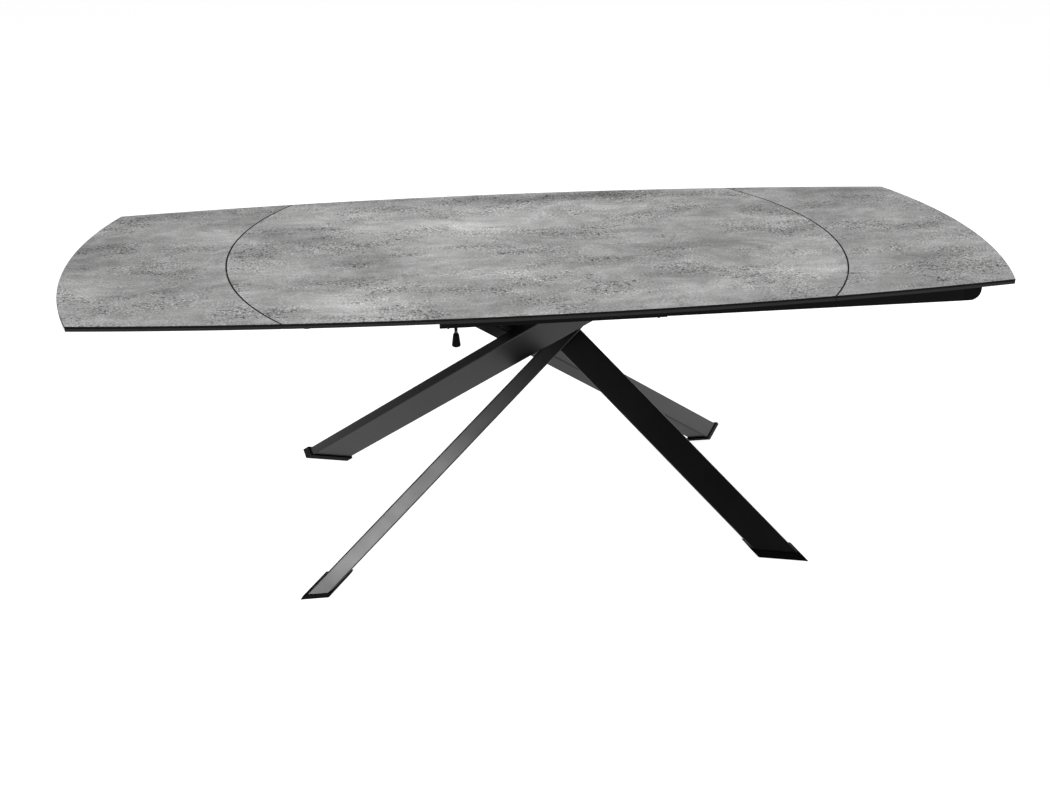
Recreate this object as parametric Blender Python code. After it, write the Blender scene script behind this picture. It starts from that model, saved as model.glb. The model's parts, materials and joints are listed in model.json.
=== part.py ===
"""Extendable dining table on four crossed tube legs, with a leaf at each end.

Each leaf hangs on two pairs of folding arms. An inner arm turns on the frame and an outer
arm turns on its tip, twice as fast and the other way, so the leaf's pivot follows a flat
half ellipse: up level with the top when extended, down and under the top when closed.
Two toothed belts with 2:1 pulleys hold those ratios and keep the leaf level.

Metres, +Z up, +X along the table, origin on the floor under the middle of the top.
The right-hand extension is modelled; the left-hand one is the same pieces turned half a
turn about Z, and so are the legs at the back.
"""

import math

import bmesh
import bpy
from mathutils import Vector

# ---------------------------------------------------------------- overall sizes
TABLE_HEIGHT = 0.777
EXTENDED_LENGTH = 2.400          # tip to tip of the curved ends
CENTRE_LENGTH = 1.600            # tip to tip of the curved seams
TOP_WIDTH = 0.9815               # across the middle of the bowed sides
SIDE_SAG = 0.0753                # how far the sides draw in from the middle to the corners
END_SAG = 0.0750                 # how far each curved end stands out past its corners
SEAM_SAG = 0.1545                # how far each curved seam stands out past its ends
SEAM_GAP = 0.0025

CERAMIC_THICKNESS = 0.004
GLASS_THICKNESS = 0.008
CLEARANCE = 0.0003               # between pieces that touch
BORE_CLEARANCE = 0.0003          # round a pin that turns

# ---------------------------------------------------------------- legs
LEG_WIDTH = 0.080
LEG_DEPTH = 0.040
LEG_WALL = 0.0025
FRONT_LEFT_FOOT = (-0.6059, -0.3598)
FRONT_LEFT_HEAD = (0.2893, 0.0684)
FRONT_LEFT_TURN = 0.0            # heading of the tube's narrow side, degrees from +X
FRONT_RIGHT_FOOT = (0.6078, -0.3688)
FRONT_RIGHT_HEAD = (-0.1250, 0.2156)
FRONT_RIGHT_TURN = -80.0
CAP_WALL = 0.0040
CAP_FLOOR = 0.004
CAP_HEIGHT = 0.017

# ---------------------------------------------------------------- frame under the top
FRAME_HALF_LENGTH = 0.283
FRAME_HALF_WIDTH = 0.300
SIDE_PLATE_THICKNESS = 0.006
SIDE_PLATE_SKIRT = 0.0265        # below the mounting plate
MOUNTING_PLATE_THICKNESS = 0.006
MOUNTING_PLATE_HALF_LENGTH = 0.365
MOUNTING_PLATE_NECK = 0.032      # how far its two ends are narrower than its middle, each side
CROSS_RAIL_WIDTH = 0.030
CROSS_RAIL_FROM_SHAFT = 0.042    # shaft axis to the nearer face of the rail

# ---------------------------------------------------------------- extension mechanism
LEAF_TRAVEL = 0.4507
START_ANGLE = math.radians(-12.0)    # inner arm above level when extended
END_ANGLE = math.radians(160.0)      # inner arm when the leaf is stowed
STOWED_CLEARANCE = 0.0064            # leaf surface below the underside of the top
PIVOT_INSET = 0.021                  # shaft axis in from the end of the side plate
HEADROOM = 0.0027                    # raised elbow below the glass

SHAFT_RADIUS = 0.009
SHOULDER_RADIUS = 0.014
ELBOW_RADIUS = 0.011
ARM_THICKNESS = 0.006
BELT_SPACE = 0.0085              # room between the plates that a belt runs between
BELT_THICKNESS = 0.0015
BIG_PULLEY_RADIUS = 0.016
SMALL_PULLEY_RADIUS = BIG_PULLEY_RADIUS / 2
ELBOW_PIN_RADIUS = 0.005
LEAF_PIN_RADIUS = 0.006
PIN_HEAD_RADIUS = 0.009
PIN_HEAD_THICKNESS = 0.002
SHAFT_FLOOR_GAP = 0.004          # shaft above the mounting plate

# ---------------------------------------------------------------- bearers under a leaf
BEAM_WIDTH = 0.045
BEAM_DEPTH = 0.0460
BEAM_WALL = 0.002
BEAM_START = 0.240               # inner end of the main beam
BEAM_END_INSET = 0.1475          # outer end of its cap, in from the end of the leaf
BEAM_CAP_LENGTH = 0.0425
BEAM_CAP_RADIUS = 0.026
SIDE_BAR_WIDTH = 0.012
SIDE_BAR_DEPTH = 0.030
SIDE_BAR_END_INSET = 0.165
SIDE_BAR_OVERHANG = 0.014        # inboard of the leaf's pivot
BAR_GAP = 0.003                  # outer arm to side bar
BEAM_GAP = 0.005                 # side bar to main beam

# ---------------------------------------------------------------- latch
LATCH_OFFSET = 0.020             # plunger inboard of the shaft
LOCK_DISC_RADIUS = 0.026
LOCK_DISC_THICKNESS = 0.008
LOCK_DISC_FROM_PLATE = 0.010
NOTCH_WIDTH = 0.0095
NOTCH_DEPTH = 0.012
PLUNGER_RADIUS = 0.004
PLUNGER_LENGTH = 0.062
PLUNGER_CHAMFER = 0.001
PLUNGER_TIP_GAP = 0.0006         # below the disc's rim
BRACKET_WIDTH = 0.024
BRACKET_THICKNESS = 0.012
BRACKET_BELOW_DISC = 0.003
KNOB_TOP_RADIUS = 0.0070
KNOB_BOTTOM_RADIUS = 0.011
KNOB_LENGTH = 0.037
KNOB_EDGE_WIDTH = 0.0022         # of the sloping edge round its bottom
KNOB_EDGE_HEIGHT = 0.0035
KNOB_GRIP_DEPTH = 0.018          # how far the plunger reaches into the knob

ROUND_SEGMENTS = 24
ARC_STEPS = 28
SMOOTH_ANGLE = math.radians(35.0)
LEAF_CORNER_ROUNDS = 20          # passes that settle where the set-off seam meets the side

# ---------------------------------------------------------------- sizes that follow
HALF_LENGTH = EXTENDED_LENGTH / 2
HALF_WIDTH = TOP_WIDTH / 2
CENTRE_HALF = CENTRE_LENGTH / 2
CORNER_X = HALF_LENGTH - END_SAG
CORNER_Y = HALF_WIDTH - SIDE_SAG
SEAM_X = CENTRE_HALF - SEAM_SAG

CERAMIC_UNDERSIDE = TABLE_HEIGHT - CERAMIC_THICKNESS
GLASS_TOP = CERAMIC_UNDERSIDE - CLEARANCE
GLASS_UNDERSIDE = GLASS_TOP - GLASS_THICKNESS
PANEL_THICKNESS = TABLE_HEIGHT - GLASS_UNDERSIDE
BEARER_TOP = GLASS_UNDERSIDE - CLEARANCE

REACH = LEAF_TRAVEL / (math.cos(START_ANGLE) - math.cos(END_ANGLE))
STOWED_DROP = PANEL_THICKNESS + STOWED_CLEARANCE
ARM_DIFFERENCE = STOWED_DROP / (math.sin(END_ANGLE) - math.sin(START_ANGLE))
INNER_ARM = (REACH + ARM_DIFFERENCE) / 2
OUTER_ARM = (REACH - ARM_DIFFERENCE) / 2

SHOULDER_X = FRAME_HALF_LENGTH - PIVOT_INSET
ELBOW_RISE = -INNER_ARM * math.sin(START_ANGLE)
SHOULDER_Z = GLASS_UNDERSIDE - HEADROOM - ELBOW_RADIUS - ELBOW_RISE
ELBOW_X = SHOULDER_X + INNER_ARM * math.cos(START_ANGLE)
ELBOW_Z = SHOULDER_Z + ELBOW_RISE
WRIST_X = ELBOW_X + OUTER_ARM * math.cos(START_ANGLE)
WRIST_Z = ELBOW_Z + OUTER_ARM * math.sin(START_ANGLE)

PLATE_TOP = SHOULDER_Z - SHAFT_RADIUS - SHAFT_FLOOR_GAP
PLATE_UNDERSIDE = PLATE_TOP - MOUNTING_PLATE_THICKNESS
LEG_TOP = PLATE_UNDERSIDE - CLEARANCE
LEG_BOTTOM = CAP_FLOOR + CLEARANCE

# Distances from the middle plane, going outwards from a side plate.
PLATE_INNER = FRAME_HALF_WIDTH - SIDE_PLATE_THICKNESS
INNER_ARM_Y = FRAME_HALF_WIDTH + BELT_SPACE + 2 * CLEARANCE
INNER_ARM_OUTER_Y = INNER_ARM_Y + ARM_THICKNESS
OUTER_ARM_Y = INNER_ARM_OUTER_Y + BELT_SPACE + 2 * CLEARANCE
OUTER_ARM_OUTER_Y = OUTER_ARM_Y + ARM_THICKNESS
SIDE_BAR_Y = OUTER_ARM_OUTER_Y + BAR_GAP
BEAM_Y = SIDE_BAR_Y + SIDE_BAR_WIDTH + BEAM_GAP

LATCH_X = SHOULDER_X - LATCH_OFFSET
LATCH_Y = PLATE_INNER - LOCK_DISC_FROM_PLATE - LOCK_DISC_THICKNESS / 2
RIM_DROP = math.sqrt(LOCK_DISC_RADIUS**2 - (LATCH_OFFSET - PLUNGER_RADIUS)**2)
PLUNGER_TIP_Z = SHOULDER_Z - RIM_DROP - PLUNGER_TIP_GAP
PLUNGER_END_Z = PLUNGER_TIP_Z - PLUNGER_LENGTH
BRACKET_TOP_Z = SHOULDER_Z - LOCK_DISC_RADIUS - BRACKET_BELOW_DISC

# ---------------------------------------------------------------- colours
BLACK_STEEL = ((0.012, 0.012, 0.013), 0.45, 0.6)
LEG_STEEL = ((0.045, 0.045, 0.047), 0.40, 0.6)
GREY_CERAMIC = ((0.26, 0.26, 0.26), 0.55, 0.0)
BLACK_GLASS = ((0.010, 0.010, 0.011), 0.15, 0.0)
BLACK_PLASTIC = ((0.010, 0.010, 0.010), 0.50, 0.0)
BRIGHT_STEEL = ((0.55, 0.55, 0.56), 0.30, 1.0)
BLACK_RUBBER = ((0.015, 0.015, 0.015), 0.80, 0.0)


# ---------------------------------------------------------------- building blocks
def clear_scene():
    for obj in list(bpy.data.objects):
        bpy.data.objects.remove(obj, do_unlink=True)


def material_for(name, finish):
    colour, roughness, metallic = finish
    material = bpy.data.materials.new(name)
    material.use_nodes = True
    shader = material.node_tree.nodes["Principled BSDF"]
    shader.inputs["Base Color"].default_value = (*colour, 1.0)
    shader.inputs["Roughness"].default_value = roughness
    shader.inputs["Metallic"].default_value = metallic
    return material


def add_object(name, bm, finish, parent=None, smooth=False):
    """Turn a bmesh into a named object with its own material."""
    bmesh.ops.recalc_face_normals(bm, faces=bm.faces)
    mesh = bpy.data.meshes.new(name)
    bm.to_mesh(mesh)
    bm.free()
    if smooth:
        mesh.shade_smooth()
        mesh.set_sharp_from_angle(angle=SMOOTH_ANGLE)
    if finish:
        mesh.materials.append(material_for(name, finish))
    obj = bpy.data.objects.new(name, mesh)
    bpy.context.scene.collection.objects.link(obj)
    obj.parent = parent
    return obj


def add_empty(name, location=(0, 0, 0), turn=0.0, parent=None):
    empty = bpy.data.objects.new(name, None)
    empty.location = location
    empty.rotation_euler = (0, 0, turn)
    empty.parent = parent
    bpy.context.scene.collection.objects.link(empty)
    return empty


def prism(points, offset):
    """A closed solid: the polygon through points, swept along offset."""
    bm = bmesh.new()
    near = [bm.verts.new(p) for p in points]
    far = [bm.verts.new(Vector(p) + Vector(offset)) for p in points]
    bm.faces.new(near)
    bm.faces.new(far)
    for i in range(len(near)):
        j = (i + 1) % len(near)
        bm.faces.new((near[i], near[j], far[j], far[i]))
    return bm


def ring_between(loops):
    """A closed solid whose section runs through the given loops in turn, back to the first."""
    bm = bmesh.new()
    rings = [[bm.verts.new(p) for p in loop] for loop in loops]
    for k, ring in enumerate(rings):
        following = rings[(k + 1) % len(rings)]
        for i in range(len(ring)):
            j = (i + 1) % len(ring)
            bm.faces.new((ring[i], ring[j], following[j], following[i]))
    return bm


def box(low, high):
    (x0, y0, z0), (x1, y1, z1) = low, high
    return prism([(x0, y0, z0), (x1, y0, z0), (x1, y1, z0), (x0, y1, z0)], (0, 0, z1 - z0))


def turned(profile, axis):
    """A solid of revolution. The profile is a closed chain of (radius, distance along axis)."""
    bm = bmesh.new()
    rings = []
    for radius, along in profile:
        if radius == 0:
            rings.append([bm.verts.new(place(axis, 0, 0, along))])
            continue
        angles = [2 * math.pi * i / ROUND_SEGMENTS for i in range(ROUND_SEGMENTS)]
        rings.append([bm.verts.new(place(axis, radius * math.cos(a), radius * math.sin(a), along))
                      for a in angles])
    pairs = list(zip(rings, rings[1:] + rings[:1]))
    for first, second in pairs:
        if len(first) == 1 and len(second) == 1:
            continue
        for i in range(ROUND_SEGMENTS):
            j = (i + 1) % ROUND_SEGMENTS
            corners = [first[i % len(first)], first[j % len(first)],
                       second[j % len(second)], second[i % len(second)]]
            bm.faces.new(list(dict.fromkeys(corners)))
    return bm


def place(axis, u, v, along):
    """A point given across and along the Y or the Z axis."""
    if axis == "Y":
        return (u, along, v)
    return (u, v, along)


def cut(target, cutter):
    modifier = target.modifiers.new("cut_by_" + cutter.name, "BOOLEAN")
    modifier.operation = "DIFFERENCE"
    modifier.solver = "EXACT"
    modifier.object = cutter


def add_cutter(name, bm, parent=None):
    cutter = add_object(name, bm, None, parent)
    cutter.hide_render = True
    cutter.display_type = "WIRE"
    return cutter


# ---------------------------------------------------------------- outlines of the top
def arc_radius(half_chord, sag):
    return (half_chord**2 + sag**2) / (2 * sag)


def side_y(x):
    radius = arc_radius(CORNER_X, SIDE_SAG)
    return HALF_WIDTH - radius + math.sqrt(radius**2 - x**2)


def seam_x(y):
    radius = arc_radius(side_y(SEAM_X), SEAM_SAG)
    return CENTRE_HALF - radius + math.sqrt(radius**2 - y**2)


def end_x(y):
    radius = arc_radius(CORNER_Y, END_SAG)
    return HALF_LENGTH - radius + math.sqrt(radius**2 - y**2)


def spread(start, end, steps):
    """Evenly spaced values from start up to, but not including, end."""
    return [start + (end - start) * i / steps for i in range(steps)]


def centre_outline():
    seam_end = side_y(SEAM_X)
    right = [(seam_x(y), y) for y in spread(-seam_end, seam_end, ARC_STEPS)]
    back = [(x, side_y(x)) for x in spread(SEAM_X, -SEAM_X, ARC_STEPS)]
    return right + back + [(-x, -y) for x, y in right + back]


def leaf_corner():
    """Where the leaf's inner edge meets the side: the seam set off by the gap."""
    x = SEAM_X + SEAM_GAP
    for _ in range(LEAF_CORNER_ROUNDS):
        x = seam_x(side_y(x)) + SEAM_GAP
    return x, side_y(x)


def leaf_outline():
    inner_x, inner_y = leaf_corner()
    front = [(x, -side_y(x)) for x in spread(inner_x, CORNER_X, ARC_STEPS // 2)]
    end = [(end_x(y), y) for y in spread(-CORNER_Y, CORNER_Y, ARC_STEPS)]
    back = [(x, side_y(x)) for x in spread(CORNER_X, inner_x, ARC_STEPS // 2)]
    inner = [(seam_x(y) + SEAM_GAP, y) for y in spread(inner_y, -inner_y, ARC_STEPS)]
    return front + end + back + inner


def slab(name, outline, underside, thickness, finish, parent=None):
    points = [(x, y, underside) for x, y in outline]
    return add_object(name, prism(points, (0, 0, thickness)), finish, parent)


# ---------------------------------------------------------------- legs
def leg_section(foot, head, turn, width, depth, height):
    """The four corners of a leaning tube where it is cut level at a height."""
    foot_point = Vector((*foot, 0))
    lean = Vector((*head, LEG_TOP)) - foot_point
    along = lean.normalized()
    heading = Vector((math.cos(math.radians(turn)), math.sin(math.radians(turn)), 0))
    narrow = (heading - along * heading.dot(along)).normalized()
    wide = along.cross(narrow)
    centre = foot_point + lean * (height / LEG_TOP)
    corners = []
    for a, b in ((-1, -1), (1, -1), (1, 1), (-1, 1)):
        corner = narrow * (a * depth / 2) + wide * (b * width / 2)
        corners.append(centre + corner - along * (corner.z / along.z))
    return corners


def leg_tube(foot, head, turn):
    def section(shrink, height):
        return leg_section(foot, head, turn, LEG_WIDTH - shrink, LEG_DEPTH - shrink, height)

    wall = 2 * LEG_WALL
    return ring_between([section(0, LEG_BOTTOM), section(0, LEG_TOP),
                         section(wall, LEG_TOP), section(wall, LEG_BOTTOM)])


def leg_cutter(foot, head, turn):
    grow = 2 * CLEARANCE
    low = leg_section(foot, head, turn, LEG_WIDTH + grow, LEG_DEPTH + grow, -LEG_BOTTOM)
    high = leg_section(foot, head, turn, LEG_WIDTH + grow, LEG_DEPTH + grow, TABLE_HEIGHT)
    return prism(low, high[0] - low[0])


def foot_cap(foot, head, turn):
    def section(grow, height):
        return leg_section(foot, head, turn, LEG_WIDTH + grow, LEG_DEPTH + grow, height)

    pocket = 2 * CLEARANCE
    outer = pocket + 2 * CAP_WALL
    bm = bmesh.new()
    loops = [[bm.verts.new(p) for p in loop] for loop in
             (section(outer, 0), section(outer, CAP_HEIGHT),
              section(pocket, CAP_HEIGHT), section(pocket, CAP_FLOOR))]
    for lower, upper in zip(loops, loops[1:]):
        for i in range(4):
            j = (i + 1) % 4
            bm.faces.new((lower[i], lower[j], upper[j], upper[i]))
    bm.faces.new(loops[0])
    bm.faces.new(loops[-1])
    return bm


def build_legs(half_turn):
    """The front legs, and the same pair turned half a turn for the back."""
    left = (FRONT_LEFT_FOOT, FRONT_LEFT_HEAD, FRONT_LEFT_TURN)
    right = (FRONT_RIGHT_FOOT, FRONT_RIGHT_HEAD, FRONT_RIGHT_TURN)
    whole = [("front_left", left, None), ("back_right", left, half_turn)]
    notched = [("front_right", right, None), ("back_left", right, half_turn)]
    cutters = [add_cutter("leg_cutter_" + name, leg_cutter(*leg), parent)
               for name, leg, parent in whole]
    for name, leg, parent in whole + notched:
        tube = add_object("leg_" + name, leg_tube(*leg), LEG_STEEL, parent)
        if (name, leg, parent) in notched:
            for cutter in cutters:
                cut(tube, cutter)
        add_object("foot_cap_" + name, foot_cap(*leg), BLACK_PLASTIC, parent)


# ---------------------------------------------------------------- frame and centre top
def build_centre():
    outline = centre_outline()
    slab("centre_ceramic", outline, CERAMIC_UNDERSIDE, CERAMIC_THICKNESS, GREY_CERAMIC)
    slab("centre_glass", outline, GLASS_UNDERSIDE, GLASS_THICKNESS, BLACK_GLASS)


def mounting_plate_outline():
    """A wide middle between the side plates and two narrower ends that clear the latches."""
    wide = PLATE_INNER - CLEARANCE
    narrow = wide - MOUNTING_PLATE_NECK
    step = SHOULDER_X - CROSS_RAIL_FROM_SHAFT - CROSS_RAIL_WIDTH / 2
    tip = MOUNTING_PLATE_HALF_LENGTH
    quarter = [(tip, -narrow), (tip, narrow), (step, narrow), (step, wide)]
    back = quarter + [(-step, wide), (-step, narrow), (-tip, narrow)]
    front = [(-tip, -narrow), (-step, -narrow), (-step, -wide), (step, -wide), (step, -narrow)]
    return back + front


def build_frame(shaft_bores):
    slab("mounting_plate", mounting_plate_outline(), PLATE_UNDERSIDE,
         MOUNTING_PLATE_THICKNESS, BLACK_STEEL)
    rail_outer = SHOULDER_X - CROSS_RAIL_FROM_SHAFT
    rail_end = PLATE_INNER - CLEARANCE
    for side, sign in (("right", 1), ("left", -1)):
        ends = sorted((sign * rail_outer, sign * (rail_outer - CROSS_RAIL_WIDTH)))
        rail = box((ends[0], -rail_end, PLATE_TOP + CLEARANCE), (ends[1], rail_end, BEARER_TOP))
        add_object("cross_rail_" + side, rail, BLACK_STEEL)
    for side, sign in (("back", 1), ("front", -1)):
        faces = sorted((sign * PLATE_INNER, sign * FRAME_HALF_WIDTH))
        plate = box((-FRAME_HALF_LENGTH, faces[0], PLATE_UNDERSIDE - SIDE_PLATE_SKIRT),
                    (FRAME_HALF_LENGTH, faces[1], BEARER_TOP))
        side_plate = add_object("side_plate_" + side, plate, BLACK_STEEL)
        for bore in shaft_bores:
            cut(side_plate, bore)


# ---------------------------------------------------------------- extension
def between_circles(length, angle, start_radius, end_radius):
    """The outline round a circle at the origin and one at the end of an arm, in X and Z."""
    lean = math.asin((start_radius - end_radius) / length)
    half = ROUND_SEGMENTS // 2
    points = []
    for i in range(half + 1):
        turn = angle + math.pi / 2 - lean + (math.pi + 2 * lean) * i / half
        points.append((start_radius * math.cos(turn), start_radius * math.sin(turn)))
    for i in range(half + 1):
        turn = angle - math.pi / 2 + lean + (math.pi - 2 * lean) * i / half
        points.append((length * math.cos(angle) + end_radius * math.cos(turn),
                       length * math.sin(angle) + end_radius * math.sin(turn)))
    return points


def arm(length, angle, radii, y_from, y_to):
    outline = between_circles(length, angle, *radii)
    return prism([(x, y_from, z) for x, z in outline], (0, y_to - y_from, 0))


def belt(length, angle, radii, y_from, y_to):
    """A closed band round two pulleys."""
    inner = between_circles(length, angle, *[r + CLEARANCE for r in radii])
    outer = between_circles(length, angle, *[r + CLEARANCE + BELT_THICKNESS for r in radii])
    loops = [[(x, y, z) for x, z in outline]
             for outline, y in ((inner, y_from), (inner, y_to), (outer, y_to), (outer, y_from))]
    return ring_between(loops)


def bushing(bore, radius, y_from, y_to):
    return turned([(bore, y_from), (radius, y_from), (radius, y_to), (bore, y_to)], "Y")


def stepped_pin(steps):
    """A solid pin along Y from (radius, y where it starts, y where it ends) in order."""
    profile = [(0, steps[0][1])]
    for radius, y_from, y_to in steps:
        profile += [(radius, y_from), (radius, y_to)]
    profile.append((0, steps[-1][2]))
    return turned(profile, "Y")


def add_bore(name, radius, parent):
    """A cutter along Y, long enough for both sides of the table."""
    reach = OUTER_ARM_OUTER_Y + BAR_GAP / 2
    return add_cutter(name, stepped_pin([(radius + BORE_CLEARANCE, -reach, reach)]), parent)


def build_arms(side, shoulder, elbow, wrist, bores):
    """The drive side is at the front of the right-hand leaf and carries the belts."""
    start = -START_ANGLE
    for place_name, sign in (("drive", -1), ("idle", 1)):
        inner = arm(INNER_ARM, start, (SHOULDER_RADIUS, ELBOW_RADIUS),
                    sign * INNER_ARM_Y, sign * INNER_ARM_OUTER_Y)
        inner_arm = add_object(side + "_inner_arm_" + place_name, inner, BLACK_STEEL, shoulder, True)
        cut(inner_arm, bores["shoulder"])
        cut(inner_arm, bores["elbow"])
        outer = arm(OUTER_ARM, -start, (ELBOW_RADIUS, ELBOW_RADIUS),
                    sign * OUTER_ARM_Y, sign * OUTER_ARM_OUTER_Y)
        outer_arm = add_object(side + "_outer_arm_" + place_name, outer, BLACK_STEEL, elbow, True)
        cut(outer_arm, bores["elbow"])
        cut(outer_arm, bores["wrist"])


def build_drive_belts(side, base, shoulder, elbow):
    """Pulleys and belts on the drive side, which is at negative Y."""
    start = -START_ANGLE
    first = -(FRAME_HALF_WIDTH + CLEARANCE)
    first_end = -(INNER_ARM_Y - CLEARANCE)
    second = -(INNER_ARM_OUTER_Y + CLEARANCE)
    second_end = -(OUTER_ARM_Y - CLEARANCE)
    fixed = add_object(side + "_fixed_pulley",
                       bushing(SHAFT_RADIUS + 2 * CLEARANCE, BIG_PULLEY_RADIUS, first, first_end),
                       BRIGHT_STEEL, base, True)
    fixed.location = (SHOULDER_X, 0, SHOULDER_Z)
    at_elbow = add_object(side + "_elbow_pulley",
                          bushing(ELBOW_PIN_RADIUS + BORE_CLEARANCE, SMALL_PULLEY_RADIUS,
                                  second, second_end),
                          BRIGHT_STEEL, shoulder, True)
    at_elbow.location = (ELBOW_X - SHOULDER_X, 0, ELBOW_Z - SHOULDER_Z)
    radii = (BIG_PULLEY_RADIUS, SMALL_PULLEY_RADIUS)
    add_object(side + "_inner_belt", belt(INNER_ARM, start, radii, first, first_end),
               BLACK_RUBBER, shoulder, True)
    add_object(side + "_outer_belt", belt(OUTER_ARM, -start, radii[::-1], second, second_end),
               BLACK_RUBBER, elbow, True)


def build_pins(side, shoulder, elbow, wrist):
    shaft = stepped_pin([(SHAFT_RADIUS, -INNER_ARM_OUTER_Y, INNER_ARM_OUTER_Y)])
    add_object(side + "_torsion_shaft", shaft, BRIGHT_STEEL, shoulder, True)

    arm_head = (PIN_HEAD_RADIUS, OUTER_ARM_OUTER_Y + CLEARANCE,
                OUTER_ARM_OUTER_Y + CLEARANCE + PIN_HEAD_THICKNESS)
    elbow_shank = (ELBOW_PIN_RADIUS, INNER_ARM_Y - CLEARANCE, arm_head[1])
    pulley = (SMALL_PULLEY_RADIUS, FRAME_HALF_WIDTH + 2 * CLEARANCE, elbow_shank[1])
    button = (PIN_HEAD_RADIUS, elbow_shank[1] - PIN_HEAD_THICKNESS, elbow_shank[1])

    wrist_inner = OUTER_ARM_Y - CLEARANCE
    wrist_pulley = (BIG_PULLEY_RADIUS, INNER_ARM_OUTER_Y + 2 * CLEARANCE, wrist_inner)
    wrist_button = (PIN_HEAD_RADIUS, wrist_inner - PIN_HEAD_THICKNESS, wrist_inner)
    beam_face = BEAM_Y - CLEARANCE
    flange = (PIN_HEAD_RADIUS, beam_face - PIN_HEAD_THICKNESS, beam_face)
    to_beam = (LEAF_PIN_RADIUS, wrist_inner, flange[1])
    to_bar = (LEAF_PIN_RADIUS, wrist_inner, SIDE_BAR_Y - CLEARANCE)

    def mirrored(steps):
        return [(radius, -y_to, -y_from) for radius, y_from, y_to in reversed(steps)]

    drive_elbow = stepped_pin(mirrored([pulley, elbow_shank, arm_head]))
    idle_elbow = stepped_pin([button, elbow_shank, arm_head])
    drive_wrist = stepped_pin(mirrored([wrist_pulley, to_beam, flange]))
    idle_wrist = stepped_pin([wrist_button, to_bar])
    add_object(side + "_elbow_pin_drive", drive_elbow, BRIGHT_STEEL, elbow, True)
    add_object(side + "_elbow_pin_idle", idle_elbow, BRIGHT_STEEL, elbow, True)
    add_object(side + "_leaf_pin_drive", drive_wrist, BRIGHT_STEEL, wrist, True)
    add_object(side + "_leaf_pin_idle", idle_wrist, BRIGHT_STEEL, wrist, True)


def beam_tube(x_from, x_to):
    """A rectangular tube along X, open at both ends."""
    def section(inset, x):
        y_near, y_far = -(BEAM_Y + inset), -(BEAM_Y + BEAM_WIDTH - inset)
        z_low, z_high = BEARER_TOP - BEAM_DEPTH + inset, BEARER_TOP - inset
        return [(x, y_near, z_low), (x, y_far, z_low), (x, y_far, z_high), (x, y_near, z_high)]

    return ring_between([section(0, x_from), section(0, x_to),
                         section(BEAM_WALL, x_to), section(BEAM_WALL, x_from)])


def beam_cap(x_from, x_to):
    """A block as deep as the beam, with its lower outer corner rounded off."""
    low = BEARER_TOP - BEAM_DEPTH
    steps = ROUND_SEGMENTS // 4
    outline = [(x_from, low), (x_from, BEARER_TOP), (x_to, BEARER_TOP)]
    for i in range(steps + 1):
        turn = -math.pi / 2 * i / steps
        outline.append((x_to - BEAM_CAP_RADIUS + BEAM_CAP_RADIUS * math.cos(turn),
                        low + BEAM_CAP_RADIUS + BEAM_CAP_RADIUS * math.sin(turn)))
    return prism([(x, -BEAM_Y, z) for x, z in outline], (0, -BEAM_WIDTH, 0))


def build_leaf(side, wrist):
    """The leaf and its bearers, drawn in table coordinates and hung on the wrist axis."""
    carrier = add_empty(side + "_leaf_carrier", (-WRIST_X, 0, -WRIST_Z), 0, wrist)
    outline = leaf_outline()
    slab(side + "_leaf_ceramic", outline, CERAMIC_UNDERSIDE, CERAMIC_THICKNESS,
         GREY_CERAMIC, carrier)
    slab(side + "_leaf_glass", outline, GLASS_UNDERSIDE, GLASS_THICKNESS, BLACK_GLASS, carrier)
    cap_end = HALF_LENGTH - BEAM_END_INSET
    cap_start = cap_end - BEAM_CAP_LENGTH
    add_object(side + "_main_beam", beam_tube(BEAM_START, cap_start - CLEARANCE),
               BLACK_STEEL, carrier)
    add_object(side + "_beam_end_cap", beam_cap(cap_start, cap_end), BLACK_PLASTIC, carrier, True)
    bar = box((WRIST_X - SIDE_BAR_OVERHANG, SIDE_BAR_Y, BEARER_TOP - SIDE_BAR_DEPTH),
              (HALF_LENGTH - SIDE_BAR_END_INSET, SIDE_BAR_Y + SIDE_BAR_WIDTH, BEARER_TOP))
    add_object(side + "_side_bar", bar, BLACK_STEEL, carrier)


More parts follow.
